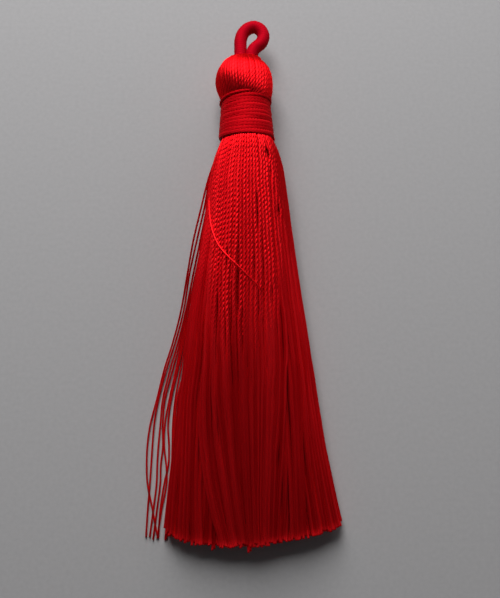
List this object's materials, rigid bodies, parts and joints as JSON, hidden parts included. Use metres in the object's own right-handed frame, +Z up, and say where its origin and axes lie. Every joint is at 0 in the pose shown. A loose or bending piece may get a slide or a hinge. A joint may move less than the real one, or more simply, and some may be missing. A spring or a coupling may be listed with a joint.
{
  "type": "silk tassel",
  "caption": "Red silk tassel lying flat: round folded head with a short cord loop, a wound neck band and a long spreading skirt of thread, with a few loose strands along one side",
  "frame": {"origin": "on the floor under the centre of the round head, where the head rests", "axes": "+Y along the tassel towards the hanging loop, +X across it to the right seen from above with the loop up, +Z up from the floor"},
  "size_m": [0.0317, 0.0937, 0.0105],
  "materials": {
    "silk_thread": "lustrous twisted silk thread",
    "silk_binding": "lustrous wound silk thread",
    "silk_cord": "smooth round silk cord"
  },
  "bodies": {
    "root": {"skein": "silk_thread", "neck_wrap": "silk_binding", "hanging_loop": "silk_cord"}
  },
  "joints": []
}
